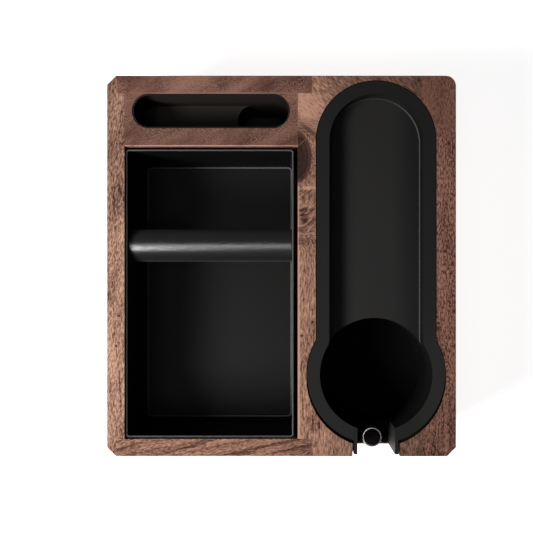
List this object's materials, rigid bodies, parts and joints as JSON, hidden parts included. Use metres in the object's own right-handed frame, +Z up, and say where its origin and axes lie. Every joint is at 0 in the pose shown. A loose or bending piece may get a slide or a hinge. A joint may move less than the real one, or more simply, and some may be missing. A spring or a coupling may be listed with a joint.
{
  "type": "espresso bar station",
  "caption": "Walnut tabletop station with a lift-out coffee knock bin, a tool slot, and a moulded cradle that holds a portafilter level.",
  "frame": {"origin": "middle of the outline, on the surface that the feet stand on", "axes": "+X towards the cradle, +Y from the front, where the cradle's neck slot opens, to the rear, +Z up"},
  "size_m": [0.21, 0.229, 0.1],
  "materials": {
    "walnut": "oiled",
    "dark_walnut": "oiled",
    "plywood": "matte",
    "beech": "matte",
    "moulded_plastic": "fine textured",
    "coated_steel": "satin powder coat",
    "bar_rubber": "satin",
    "foot_rubber": "matte",
    "stainless_steel": "turned",
    "zinc_steel": "bright",
    "brass": "turned"
  },
  "bodies": {
    "stand": {"left_board": "walnut", "front_board": "walnut", "tool_block": "dark_walnut", "cradle_block_inner_stave": "walnut", "cradle_block_outer_stave": "dark_walnut", "bay_floor": "plywood", "floor_screws": "zinc_steel", "joint_dowels": "beech", "tool_slot_liner": "moulded_plastic", "foot_front_left": "foot_rubber", "foot_front_right": "foot_rubber", "foot_rear_left": "foot_rubber", "foot_rear_right": "foot_rubber"},
    "knock_bin": {"bin_shell": "coated_steel", "knock_bar_core": "zinc_steel", "knock_bar_sleeve": "bar_rubber"},
    "cradle": {"cradle_tray": "moulded_plastic", "rest_insert": "brass", "rest_lock_nut": "stainless_steel"},
    "rest_top": {"rest_pad": "bar_rubber"},
    "rest_turner": {"rest_cap": "stainless_steel", "rest_screw": "stainless_steel"}
  },
  "joints": [
    {"name": "bin_lift", "type": "slide", "parent": "stand", "child": "knock_bin", "axis": [0, 0, 1], "range_m": [0, 0.1]},
    {"name": "cradle_lift", "type": "slide", "parent": "stand", "child": "cradle", "axis": [0, 0, 1], "range_m": [0, 0.072]},
    {"name": "rest_rise", "type": "slide", "parent": "cradle", "child": "rest_top", "axis": [0, 0, 1], "range_m": [0, 0.008]},
    {"name": "rest_turn", "type": "hinge", "parent": "rest_top", "child": "rest_turner", "pos_m": [0.057, -0.1076, 0.06], "axis": [0, 0, 1], "range_deg": [0, 2880]}
  ],
  "couplings": [
    {"joint": "rest_rise", "follows": "rest_turn", "m_per_rad": 0.00015915}
  ]
}
